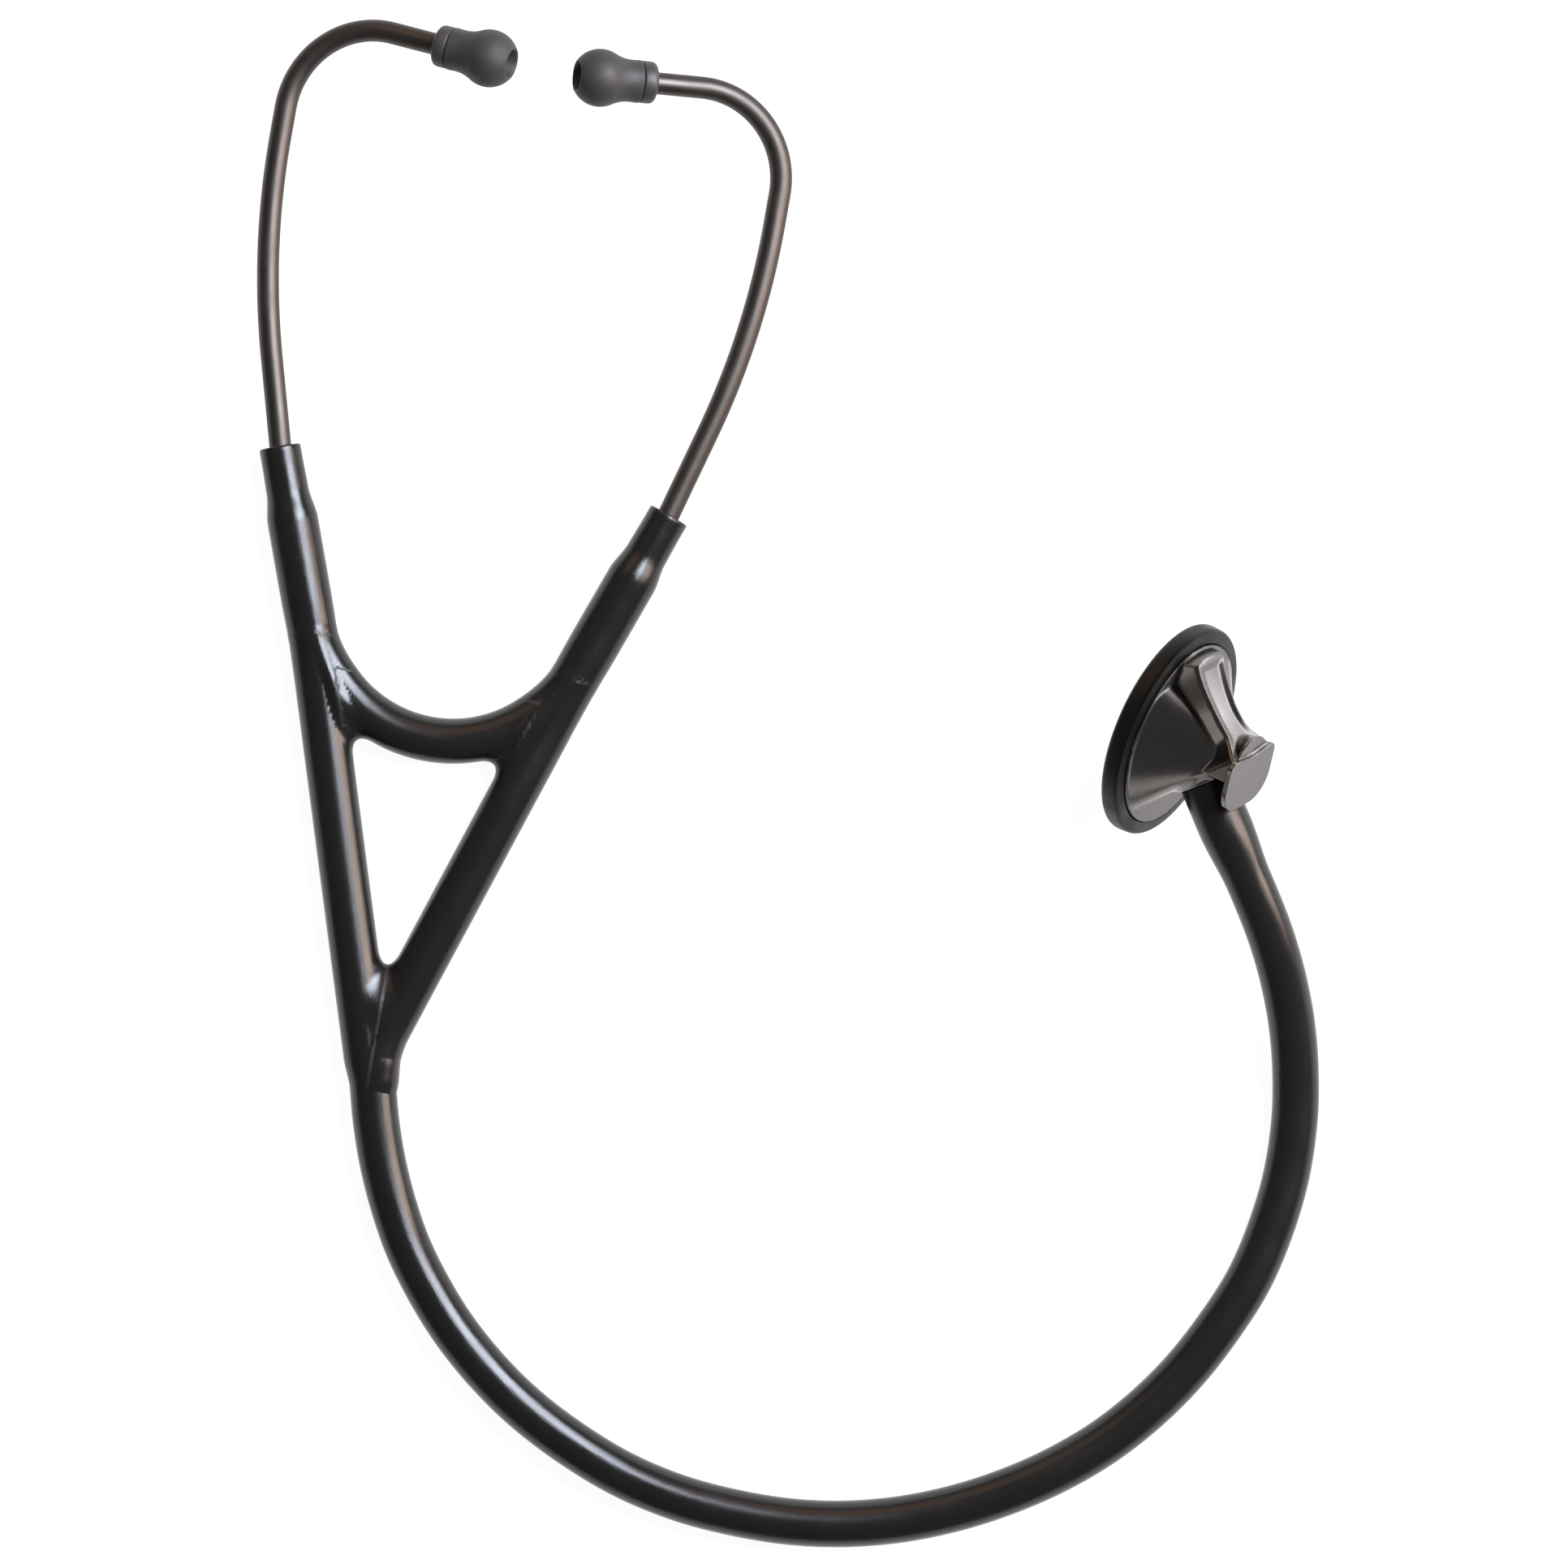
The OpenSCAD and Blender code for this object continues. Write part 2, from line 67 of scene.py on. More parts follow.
camera_data = bpy.data.cameras.new("camera")
camera = bpy.data.objects.new("camera", camera_data)
scene.collection.objects.link(camera)
camera_data.sensor_width = SENSOR_WIDTH
camera_data.lens = SENSOR_WIDTH * CAMERA_HEIGHT / PICTURE_WIDTH
camera_data.clip_end = 20.0
camera.location = (0.0050, -0.0540, CAMERA_HEIGHT + 0.012)
scene.camera = camera
print("lens, mm:", round(camera_data.lens))

# %% [markdown]
# ## Places
#
# The headset lies flat and turned by ten degrees. The chestpiece stands on the edge of its rim.
# Both are built in a frame of their own in millimetres, where they are symmetric, and one
# matrix each puts them where the frame says. The alternative, working out every point in the
# table's frame, would hide the symmetry that the real moulds and the lathe gave them.


# %% Matrices from millimetres to the table's frame
def turn(axis, degrees):
    """4x4 matrix of a turn about one axis."""
    c, s = math.cos(math.radians(degrees)), math.sin(math.radians(degrees))
    a, b = {"x": (1, 2), "y": (2, 0), "z": (0, 1)}[axis]
    m = np.eye(4)
    m[a, a] = m[b, b] = c
    m[b, a], m[a, b] = s, -s
    return m


def shift(x, y, z):
    """4x4 matrix of a move."""
    m = np.eye(4)
    m[:3, 3] = (x, y, z)
    return m


def apply(matrix, points):
    """Points moved by a 4x4 matrix."""
    points = np.asarray(points, float)
    return points @ matrix[:3, :3].T + matrix[:3, 3]


def unit(v):
    return v / np.linalg.norm(v)


JUNCTION = (-89.6, -116.2, 5.9)
HEADSET_TURN = -10
HOSE_END = (101.5, -53.5, 25.0)
STEM_FOOT = (8.3, 0, -9.45)
STEM_ANGLE = 40.5

headset = shift(*JUNCTION) @ turn("z", HEADSET_TURN)
mirror = np.diag([-1.0, 1.0, 1.0, 1.0])
chest = shift(*HOSE_END) @ turn("z", 64.3) @ turn("x", 65) @ turn("z", 30) @ shift(*STEM_FOOT)
print("middle of the finger pad, mm:", apply(chest, [(0, 0, 19.6)]).round(1))

# %% [markdown]
# ## Mesh helpers
#
# Almost every piece here is either turned (a section spun round an axis) or drawn along a line
# (a ring carried along a route). Two helpers make those as plain quad meshes. Each vertex also
# keeps its place on the straight, unbent tube as the attribute `run`, in metres, so that
# streaks can follow a tube round its bends. Curve objects with a bevel would be shorter to
# write, but give no such attribute and no say over the ends.

# %% Mesh helpers
def make_piece(name, points, faces, run=None):
    """A smooth-shaded mesh object from points in millimetres in the table's frame."""
    mesh = bpy.data.meshes.new(name)
    mesh.from_pydata((np.asarray(points) * MM).tolist(), [], faces)
    mesh.polygons.foreach_set("use_smooth", [True] * len(mesh.polygons))
    attribute = mesh.attributes.new("run", "FLOAT_VECTOR", "POINT")
    values = np.asarray(points if run is None else run, float) * MM
    attribute.data.foreach_set("vector", values.ravel())
    mesh.update()
    piece = bpy.data.objects.new(name, mesh)
    scene.collection.objects.link(piece)
    return piece


def ring_faces(rings, sides, closed=False):
    """Quads between neighbouring rings of vertices."""
    faces = []
    for i in range(rings if closed else rings - 1):
        j = (i + 1) % rings
        for k in range(sides):
            n = (k + 1) % sides
            faces.append((i * sides + k, i * sides + n, j * sides + n, j * sides + k))
    return faces


def turned(name, section, matrix, sides=96, closed=False):
    """A piece turned about the matrix's Z axis. section is a list of (radius, height)."""
    angles = np.linspace(0, 2 * math.pi, sides, endpoint=False)
    points = [(r * math.cos(a), r * math.sin(a), z) for r, z in section for a in angles]
    return make_piece(name, apply(matrix, points), ring_faces(len(section), sides, closed), points)


def smooth_route(points, step):
    """A smooth curve through the points, as points about step apart."""
    p = np.asarray(points, float)
    p = np.vstack([2 * p[0] - p[1], p, 2 * p[-1] - p[-2]])
    out = []
    for a, b, c, d in zip(p, p[1:], p[2:], p[3:]):
        count = max(1, round(np.linalg.norm(c - b) / step))
        for t in np.arange(count) / count:
            out.append(0.5 * (2 * b + (c - a) * t + (2 * a - 5 * b + 4 * c - d) * t ** 2
                              + (3 * b - a - 3 * c + d) * t ** 3))
    out.append(p[-2])
    return np.array(out)


def drawn(name, route, radii, sides=48, closed=False):
    """A tube along the route. radii gives one radius for each point of the route."""
    route = np.asarray(route, float)
    tangents = np.gradient(route, axis=0)
    steps = np.linalg.norm(np.diff(route, axis=0), axis=1)
    along = np.concatenate([[0], np.cumsum(steps)])
    angles = np.linspace(0, 2 * math.pi, sides, endpoint=False)
    side = unit(np.cross(tangents[0], (0, 0, 1)))
    points, run = [], []
    for centre, tangent, radius, s in zip(route, tangents, radii, along):
        tangent = unit(tangent)
        side = unit(side - tangent * (side @ tangent))
        up = np.cross(side, tangent)
        for a in angles:
            points.append(centre + radius * (math.cos(a) * side + math.sin(a) * up))
            run.append((radius * math.cos(a), s, radius * math.sin(a)))
    return make_piece(name, points, ring_faces(len(route), sides, closed), run)


def finish_piece(piece, material, body, stands_for=()):
    """Gives a piece its finish, the body it rides on and the nodes it stands for."""
    piece.data.materials.clear()
    piece.data.materials.append(material)
    if body:
        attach(piece, body)
    if stands_for:
        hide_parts(*stands_for)
    print(piece.name, len(piece.data.vertices), "points")

# %% [markdown]
# ## Colours and shader nodes
#
# Colours are written as the sRGB hex values a paint card would give, and one function turns
# them to the linear values that the shader wants. One more function adds a node together with
# its settings and links, which keeps each material below short enough to read as a recipe.


# %% Colour and node helpers
def colour(hex_code):
    """sRGB hex to linear RGBA."""
    parts = [int(hex_code[i:i + 2], 16) / 255 for i in (1, 3, 5)]
    linear = [p / 12.92 if p <= 0.04045 else ((p + 0.055) / 1.055) ** 2.4 for p in parts]
    return (*linear, 1.0)


def add(material, kind, links=None, settings=None, **inputs):
    """Adds a node. settings are its own properties, inputs its socket values, links its links."""
    tree = material.node_tree
    node = tree.nodes.new(kind)
    for key, value in (settings or {}).items():
        setattr(node, key, value)
    for key, value in inputs.items():
        node.inputs[key.replace("_", " ")].default_value = value
    for socket, source in (links or {}).items():
        tree.links.new(source, node.inputs[socket])
    return node


def new_material(name, hex_code, roughness, metallic=0.0, **inputs):
    """A material with one Principled shader. Returns the material and the shader."""
    material = bpy.data.materials.new(name)
    material.use_nodes = True
    shader = material.node_tree.nodes["Principled BSDF"]
    shader.inputs["Base Color"].default_value = colour(hex_code)
    shader.inputs["Roughness"].default_value = roughness
    shader.inputs["Metallic"].default_value = metallic
    for key, value in inputs.items():
        shader.inputs[key.replace("_", " ")].default_value = value
    return material, shader


def link(material, source, target):
    material.node_tree.links.new(source, target)


def ramp_between(material, source, low, high, start=0.0, end=1.0):
    """Maps a noise value from start..end to low..high."""
    return add(material, "ShaderNodeMapRange", {"Value": source},
               From_Min=start, From_Max=end, To_Min=low, To_Max=high)


def run_coordinates(material, length_scale):
    """The place on the unbent tube, squeezed along its length so that noise becomes streaks."""
    place = add(material, "ShaderNodeAttribute", settings={"attribute_name": "run"})
    squeeze = (1.0, length_scale, 1.0)
    return add(material, "ShaderNodeMapping", {"Vector": place.outputs["Vector"]}, Scale=squeeze)


def noise_on(material, vector, grain_mm, detail=3.0):
    """Noise whose grains are about grain_mm across."""
    return add(material, "ShaderNodeTexNoise", {"Vector": vector}, Scale=1000 / grain_mm, Detail=detail)


def bump_into(material, shader, heights, distance_mm, strength=1.0):
    """Bumps the shader by heights of at most distance_mm."""
    bump = add(material, "ShaderNodeBump", {"Height": heights}, Strength=strength, Distance=distance_mm * MM)
    link(material, bump.outputs["Normal"], shader.inputs["Normal"])


# %% [markdown]
# ## Tubing: moulded PVC
#
# The hose and the yoke are plasticised PVC, moulded glossy and black. Handling leaves very fine
# streaks along it, which break up the edges of every reflection. The gloss is a dielectric at
# IOR 1.53; the streaks are noise squeezed eight times along the tube. Streaks on real tubing
# are about 0.1 mm wide; these are 0.35 mm, as coarse as they need to be to show.

# %% Tubing material
STREAK_MM = 0.35
GRAIN_MM = 0.22
tubing, shader = new_material("moulded_gloss_pvc", "#131211", 0.22, IOR=1.47)
streak_place = run_coordinates(tubing, 0.12)
streaks = noise_on(tubing, streak_place.outputs["Vector"], STREAK_MM)
grain_place = run_coordinates(tubing, 1.0)
grain = noise_on(tubing, grain_place.outputs["Vector"], GRAIN_MM, detail=1.0)
patches = noise_on(tubing, grain_place.outputs["Vector"], 14.0)
both = add(tubing, "ShaderNodeMath", {0: streaks.outputs["Fac"], 1: grain.outputs["Fac"]},
           {"operation": "ADD"})
gloss = ramp_between(tubing, patches.outputs["Fac"], 0.17, 0.25, 0.35, 0.65)
link(tubing, gloss.outputs["Result"], shader.inputs["Roughness"])
bump_into(tubing, shader, both.outputs["Value"], 0.024)
print(tubing.name)

# %% [markdown]
# ## Hose
#
# The hose is one fixed length of tubing between the yoke and the chestpiece. It leaves the yoke
# in line with the left leg, lies on the table in one wide curve, and climbs to the stem, where
# it is stretched over the metal and swells. It is drawn as a mesh along the same points that
# the frame's hose follows, because a mesh can swell at its end.

# %% Hose
HOSE_ROUTE = [
    (-89.8, -122.5, 5.9), (-89, -131.5, 5.8), (-87.5, -141, 5.5), (-85, -151, 5.4),
    (-81.5, -161, 5.4), (-76.5, -171, 5.4), (-70.5, -180.5, 5.4), (-63, -189.7, 5.4),
    (-54.5, -198, 5.4), (-44, -206, 5.4), (-32, -213.2, 5.4), (-19, -218.6, 5.4),
    (-6, -222, 5.4), (6.5, -224, 5.4), (19, -224.5, 5.4), (31.5, -223.5, 5.4),
    (44, -221, 5.4), (56, -217.2, 5.4), (67.5, -212.2, 5.4), (78.5, -205.8, 5.4),
    (88.5, -198, 5.4), (97.5, -189, 5.4), (105.3, -179, 5.4), (112, -168.5, 5.4),
    (117, -157, 5.4), (120.7, -144.5, 5.5), (122.6, -131.5, 6.4), (122.7, -119.5, 8.4),
    (121.6, -108.5, 11.2), (119.5, -98.5, 14.4), (116.6, -89, 17.6), (113, -80, 20.5),
    (109, -71, 22.8), (105, -62, 24.3), (101.5, -53.5, 25),
]
HOSE_R = 5.4
FLARE_R = 6.25
FLARE_LENGTH = 11.0
FLARE_FADE = 14.0


def flare(distance):
    """Radius of the hose at a distance from its end on the stem."""
    t = min(max((distance - FLARE_LENGTH) / FLARE_FADE, 0), 1)
    return FLARE_R + (HOSE_R - FLARE_R) * t * t * (3 - 2 * t)


hose_line = smooth_route(HOSE_ROUTE, 1.2)
hose_steps = np.linalg.norm(np.diff(hose_line, axis=0), axis=1)
from_end = hose_steps.sum() - np.concatenate([[0], np.cumsum(hose_steps)])
hose_radii = [flare(distance) for distance in from_end]
hose = drawn("hose_tube", hose_line, hose_radii)
finish_piece(hose, tubing, "root", ["hose"])

# %% [markdown]
# ## Shapes that flow into each other
#
# The yoke is moulded in one shot and the chestpiece is one casting, so their limbs flow into
# each other with fillets. Such shapes are easiest to write as a field: a function that gives a
# point's distance from the surface, negative inside. Limbs join by a union with a radius. The
# surface is then read off on a grid, and every vertex is moved onto the true surface along the
# field's slope, which also gives exact normals. Modifiers that bevel or smooth a joined mesh
# pinch where three limbs meet; a field has no such places.


# %% Field helpers
def to_line(p, a, b):
    """Distance from points to the line from a to b, and how far along it they are, 0 to 1."""
    a, b = np.asarray(a, float), np.asarray(b, float)
    t = np.clip((p - a) @ (b - a) / ((b - a) @ (b - a)), 0, 1)
    return np.linalg.norm(p - a - t[:, None] * (b - a), axis=1), t


def join(a, b, radius):
    """Union of two fields with a fillet."""
    near = np.hypot(np.maximum(radius - a, 0), np.maximum(radius - b, 0))
    return np.maximum(radius, np.minimum(a, b)) - near


def cut(a, b, radius):
    """What a and b have in common, with the edge rounded."""
    return -join(-a, -b, radius)


def ease(x, start, end):
    """0 before start, 1 after end, smooth between."""
    t = np.clip((x - start) / (end - start), 0, 1)
    return t * t * (3 - 2 * t)


def slope(field, p, h=0.01):
    """The field's gradient."""
    steps = np.eye(3) * h
    return np.stack([(field(p + s) - field(p - s)) / (2 * h) for s in steps], axis=1)


def surface(field, low, high, cell, passes=4):
    """Vertices, normals and quads of the surface where the field is zero."""
    sides = [np.arange(a, b + cell, cell) for a, b in zip(low, high)]
    grid = np.stack(np.meshgrid(*sides, indexing="ij"), axis=-1)
    value = field(grid.reshape(-1, 3)).reshape(grid.shape[:3])
    inside = value < 0
    cells = [n - 1 for n in value.shape]
    total, count = np.zeros((*cells, 3)), np.zeros(cells)
    crossings = []
    for axis in range(3):
        first = [slice(None)] * 3
        second = [slice(None)] * 3
        first[axis], second[axis] = slice(0, -1), slice(1, None)
        first, second = tuple(first), tuple(second)
        crossed = inside[first] != inside[second]
        crossings.append(crossed)
        share = np.where(crossed, value[first] / np.where(crossed, value[first] - value[second], 1), 0)
        point = grid[first] + share[..., None] * (grid[second] - grid[first])
        others = [n for n in range(3) if n != axis]
        for da in (0, 1):
            for db in (0, 1):
                part = [slice(None)] * 3
                part[others[0]] = slice(da, da + cells[others[0]])
                part[others[1]] = slice(db, db + cells[others[1]])
                hit = crossed[tuple(part)]
                total += np.where(hit[..., None], point[tuple(part)], 0)
                count += hit
    used = count > 0
    number = np.full(cells, -1)
    number[used] = np.arange(used.sum())
    p = total[used] / count[used][:, None]
    for _ in range(passes):
        g = slope(field, p)
        step = (field(p) / np.maximum((g * g).sum(axis=1), 0.05))[:, None] * g
        longest = np.linalg.norm(step, axis=1, keepdims=True)
        p = p - step * np.minimum(1, 0.6 * cell / np.maximum(longest, 1e-9))
    faces = []
    for axis, crossed in enumerate(crossings):
        b, c = (axis + 1) % 3, (axis + 2) % 3
        at = np.argwhere(crossed)
        at = at[(at[:, b] > 0) & (at[:, b] < cells[b]) & (at[:, c] > 0) & (at[:, c] < cells[c])]
        corners = []
        for db, dc in ((1, 1), (0, 1), (0, 0), (1, 0)):
            q = at.copy()
            q[:, b] -= db
            q[:, c] -= dc
            corners.append(number[tuple(q.T)])
        quads = np.stack(corners, axis=1)
        outward = inside[tuple(at.T)]
        faces.append(np.where(outward[:, None], quads, quads[:, ::-1]))
    faces = np.concatenate(faces)
    return p, slope(field, p), faces[(faces >= 0).all(axis=1)]


def flowing(name, points, normals, faces, matrix, run):
    """A mesh object from a field's surface, keeping only the vertices that its faces use."""
    used = np.unique(faces)
    new = np.full(len(points), -1)
    new[used] = np.arange(len(used))
    piece = make_piece(name, apply(matrix, points[used]), new[faces].tolist(), run[used])
    world = normals[used] @ matrix[:3, :3].T
    world /= np.linalg.norm(world, axis=1, keepdims=True)
    piece.data.normals_split_custom_set_from_vertices(world.tolist())
    return piece


# %% [markdown]
# ## Yoke
#
# On the real stethoscope the yoke and its arms are one black PVC moulding over a bent leaf
# spring: two legs rise from the junction, and the bridge between them hides the spring. The
# arms swell a little past each shoulder. All of it is one field here. It is split down the
# middle into two halves, because each half bends with its own arm at the shoulder, which
# stands for the spring's give.

# %% Yoke
SHOULDER = np.array([30.6, 93.0])
ARM_ANGLE = 20
BRIDGE_R = 32.2
BRIDGE_CENTRE = (0, 105.9)
ARM_HEADING = np.array([math.sin(math.radians(ARM_ANGLE)), math.cos(math.radians(ARM_ANGLE))])
LEG_R = 5.6
LEFT_FOOT = (-1.1, -1.0, 0)
BRIDGE_TUBE_R = 5.25
ARM_FULL_R = 5.9
ARM_SPLIT = 26.0
CROTCH_R = 4.6
BRIDGE_FILLET = 4.8
table_to_headset = np.linalg.inv(headset)
hose_start, hose_next = apply(table_to_headset, HOSE_ROUTE[:2])


def arm_radius(t):
    """Radius of an arm at a distance past its shoulder. It sinks inside the sleeve's top."""
    return 5.7 + (ARM_FULL_R - 5.7) * ease(t, -4, 9) - 0.5 * ease(t, ARM_SPLIT, ARM_SPLIT + 2.5)


def leg_of(p, side):
    foot, top = (LEFT_FOOT if side < 0 else (0, 0, 0)), (side * SHOULDER[0], SHOULDER[1], 0)
    leg, t = to_line(p, foot, top)
    return leg - LEG_R - (5.7 - LEG_R) * ease(t, 0.88, 1)


def arm_of(p, side):
    start = (side * SHOULDER[0], SHOULDER[1], 0)
    end = (side * (SHOULDER[0] + ARM_HEADING[0] * 29), SHOULDER[1] + ARM_HEADING[1] * 29, 0)
    arm, t = to_line(p, start, end)
    return arm - arm_radius(t * 29)


def yoke_field(p):
    """The whole yoke. The bow runs into both arms as one limb, and the legs join it from below.
    The fillets act only in the corners of the window and in the two crotches under it."""
    x, y, z = p.T
    dx, dy = x - BRIDGE_CENTRE[0], y - BRIDGE_CENTRE[1]
    angle = np.clip(np.arctan2(dx, -dy), -1.22, 1.22)
    near_arm = ease(np.abs(angle), 0.75, 1.22)
    reach = BRIDGE_R + near_arm
    bridge = np.sqrt((dx - reach * np.sin(angle)) ** 2 + (dy + reach * np.cos(angle)) ** 2 + z * z)
    bow = np.minimum.reduce([bridge - BRIDGE_TUBE_R - 0.45 * near_arm, arm_of(p, -1), arm_of(p, 1)])
    stub, down = to_line(p, LEFT_FOOT, hose_start)
    slimmed = LEG_R - (LEG_R - HOSE_R) * ease(down, 0, 1)
    tail, further = to_line(p, hose_start, hose_next)
    trunk = np.minimum.reduce([leg_of(p, -1), stub - slimmed, tail - HOSE_R + 0.25 * ease(further, 0, 1)])
    right_stub, _ = to_line(p, (0, 0, 0), hose_start)
    right = np.minimum(leg_of(p, 1), right_stub - slimmed)
    crotch = CROTCH_R * ease(y, 3, 13)
    armpit = 4.2 * ease(x, -1, 6) * ease(y, -13, 1) * (1 - ease(y, 10, 16))
    legs = join(trunk, right, 0.4 * ease(y, 3, 13) + np.maximum(crotch, armpit) + 0.01)
    heading = math.atan2(*SHOULDER)
    inward = y * math.sin(heading) - np.abs(x) * math.cos(heading)
    under = ease(np.hypot(dx, dy) - reach, -3, 2) * (1 - ease(y, 88, 97))
    web = 0.3 + (BRIDGE_FILLET - 0.3) * ease(inward, 0, 4) * under
    return join(legs, bow, web)


yoke_points, yoke_normals, yoke_faces = surface(yoke_field, (-48, -21, -7.3), (48, 124, 7.3), 0.8)


def yoke_run(p):
    """Place on the unbent limb, so that streaks run along the limbs."""
    x, y, z = p.T
    side = np.sign(x)
    heading = np.where(y < SHOULDER[1], math.atan2(*SHOULDER), math.radians(ARM_ANGLE))
    across = side * x * np.cos(heading) - y * np.sin(heading)
    along = side * x * np.sin(heading) + y * np.cos(heading)
    radius = np.hypot(x, y - BRIDGE_CENTRE[1])
    on_bridge = (np.abs(radius - BRIDGE_R) < 5.6) & (y < BRIDGE_CENTRE[1] - 20) & (across < -4)
    bridge_along = BRIDGE_R * np.arctan2(x, BRIDGE_CENTRE[1] - y)
    return np.stack([np.where(on_bridge, radius, across * side + 60 * side),
                     np.where(on_bridge, bridge_along, along), z], axis=1)


yoke_places = yoke_run(yoke_points)
middle = yoke_points[yoke_faces].mean(axis=1)[:, 0]
for side, sign in (("left", -1), ("right", 1)):
    faces = yoke_faces[middle * sign >= 0]
    half = flowing(side + "_yoke_half", yoke_points, yoke_normals, faces, headset, yoke_places)
    half.data.materials.append(tubing)
    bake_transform(half)
    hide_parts("yoke", side + "_sleeve")
    print(half.name, len(half.data.vertices), "points")

# %% [markdown]
# ## Sleeve tops
#
# Past the swelling, each arm slims down to a plain sleeve that grips the ear tube, and ends in
# a mouth a little wider than the tube, so the tube can be seen going in. The tops are turned,
# since they are round and straight, and the thin lip of the mouth needs exact edges.

# %% Sleeve tops
SLEEVE_LENGTH = 43.7
MOUTH_R = 3.7
MOUTH_DEPTH = 5.0
TUBE_R = 2.55


def arm_frame(sign):
    """Frame of one arm: Z along the arm from its shoulder, X towards the middle."""
    out = np.eye(4)
    out[:3, 2] = (ARM_HEADING[0], ARM_HEADING[1], 0)
    out[:3, 0] = (-ARM_HEADING[1], ARM_HEADING[0], 0)
    out[:3, 1] = np.cross(out[:3, 2], out[:3, 0])
    out[:3, 3] = (SHOULDER[0], SHOULDER[1], 0)
    flip = mirror if sign < 0 else np.eye(4)
    return headset @ flip @ out


def sleeve_outline():
    rows = [(ARM_FULL_R, ARM_SPLIT)]
    for t in np.arange(26.5, 42.9, 0.5):
        slim = 0.98 * ease(t, 26.2, 33.5) + 0.1 * ease(t, 33.5, 40)
        rows.append((ARM_FULL_R - slim, t))
    rows += [(4.82, 43.2), (4.74, 43.5), (4.55, 43.68), (4.3, SLEEVE_LENGTH), (4.05, SLEEVE_LENGTH),
             (3.86, 43.62), (3.76, 43.4), (MOUTH_R, 43.1), (3.6, 41.5), (3.35, 40.0),
             (2.9, 39.0), (TUBE_R, SLEEVE_LENGTH - MOUTH_DEPTH), (TUBE_R - 0.2, 38.2)]
    return rows


def orient(piece, outward):
    """Flips the faces if they face inward. outward is a test point's (face index, direction)."""
    mesh = piece.data
    mesh.update()
    face = mesh.polygons[outward[0]]
    if face.normal.dot(Vector(outward[1])) < 0:
        mesh.flip_normals()


for side, sign in (("left", -1), ("right", 1)):
    top = turned(side + "_sleeve_top", sleeve_outline(), arm_frame(sign), 96)
    first = top.data.polygons[0]
    axis_point = Vector((apply(arm_frame(sign), [(0, 0, ARM_SPLIT)])[0] * MM).tolist())
    orient(top, (0, first.center - axis_point))
    finish_piece(top, tubing, side + "_ear")

# %% [markdown]
# ## Ear tubes
#
# Each ear tube is 5.1 mm stainless tube, bent on a mandrel and then coated in a dark bronze
# grey by vapour. From the sleeve it leans slightly, runs nearly straight in a very long bend,
# and turns inward round a tight one to the ear. The route is made run by run, as a bender
# would set it up, from the same radii and angles as the frame's tube.

# %% Ear tubes
GRIP_END = SLEEVE_LENGTH - MOUTH_DEPTH + 1
EAR_RUNS = [
    (60, 4.5, 0), (20, 0, 0), (188, ARM_ANGLE - 4.5, 0), (7, 0, 0), (20.7, 95.6, 17), (11.4, 0, 0),
]


def ear_route(start, step=0.8):
    """Points along the tube and the frame at its end, both in the arm's frame."""
    place = shift(0, 0, start)
    points = [apply(place, [(0, 0, -6)])[0]]
    for size, angle, roll in EAR_RUNS:
        if angle == 0:
            for s in np.arange(0, size, step):
                points.append(apply(place, [(0, 0, s)])[0])
            place = place @ shift(0, 0, size)
        else:
            place = place @ turn("z", roll)
            count = max(6, round(math.radians(angle) * size / step))
            for k in range(count):
                a = math.radians(angle * k / count)
                points.append(apply(place, [(size * (1 - math.cos(a)), 0, size * math.sin(a))])[0])
            a = math.radians(angle)
            place = place @ shift(size * (1 - math.cos(a)), 0, size * math.sin(a)) @ turn("y", angle)
    points.append(apply(place, [(0, 0, 0)])[0])
    points.append(apply(place, [(0, 0, 1.5)])[0])
    return np.array(points), place


ear_points, ear_end = ear_route(GRIP_END)
bronze, bronze_shader = new_material("vapour_coated_bronze_grey", "#504b48", 0.44, 1.0)
bronze_place = run_coordinates(bronze, 0.1)
draw_lines = noise_on(bronze, bronze_place.outputs["Vector"], 0.3)
bronze_even = run_coordinates(bronze, 1.0)
handling = noise_on(bronze, bronze_even.outputs["Vector"], 9.0)
bronze_gloss = ramp_between(bronze, handling.outputs["Fac"], 0.40, 0.50, 0.3, 0.7)
link(bronze, bronze_gloss.outputs["Result"], bronze_shader.inputs["Roughness"])
bump_into(bronze, bronze_shader, draw_lines.outputs["Fac"], 0.004)
for side, sign in (("left", -1), ("right", 1)):
    route = apply(arm_frame(sign), ear_points)
    tube = drawn(side + "_bent_tube", route, [TUBE_R] * len(route), 40)
    finish_piece(tube, bronze, side + "_ear", [side + "_ear_tube"])

# %% [markdown]
# ## Eartips and collars
#
# The eartip is soft silicone: a ball that seals the ear canal, a waist, and a skirt that
# covers the tube's ribbed ferrule. A separate plastic collar stops it. Silicone is matte
# and slightly grainy from its mould.

# %% Eartips
BALL_R = 6.65
SKIRT_R = 4.95
COLLAR_R = 4.85
COLLAR_LENGTH = 3.4
TIP_END = COLLAR_LENGTH + 15.2
TIP_MOUTH_R = 3.6
BALL_AT = TIP_END - math.sqrt(BALL_R ** 2 - TIP_MOUTH_R ** 2)
silicone, silicone_shader = new_material("moulded_matte_silicone", "#2f2d2c", 0.55, IOR=1.41)
silicone_place = run_coordinates(silicone, 1.0)
mould_grain = noise_on(silicone, silicone_place.outputs["Vector"], 0.35, detail=2.0)
silicone_cloud = noise_on(silicone, silicone_place.outputs["Vector"], 5.0)
silicone_gloss = ramp_between(silicone, silicone_cloud.outputs["Fac"], 0.48, 0.64, 0.3, 0.7)
link(silicone, silicone_gloss.outputs["Result"], silicone_shader.inputs["Roughness"])
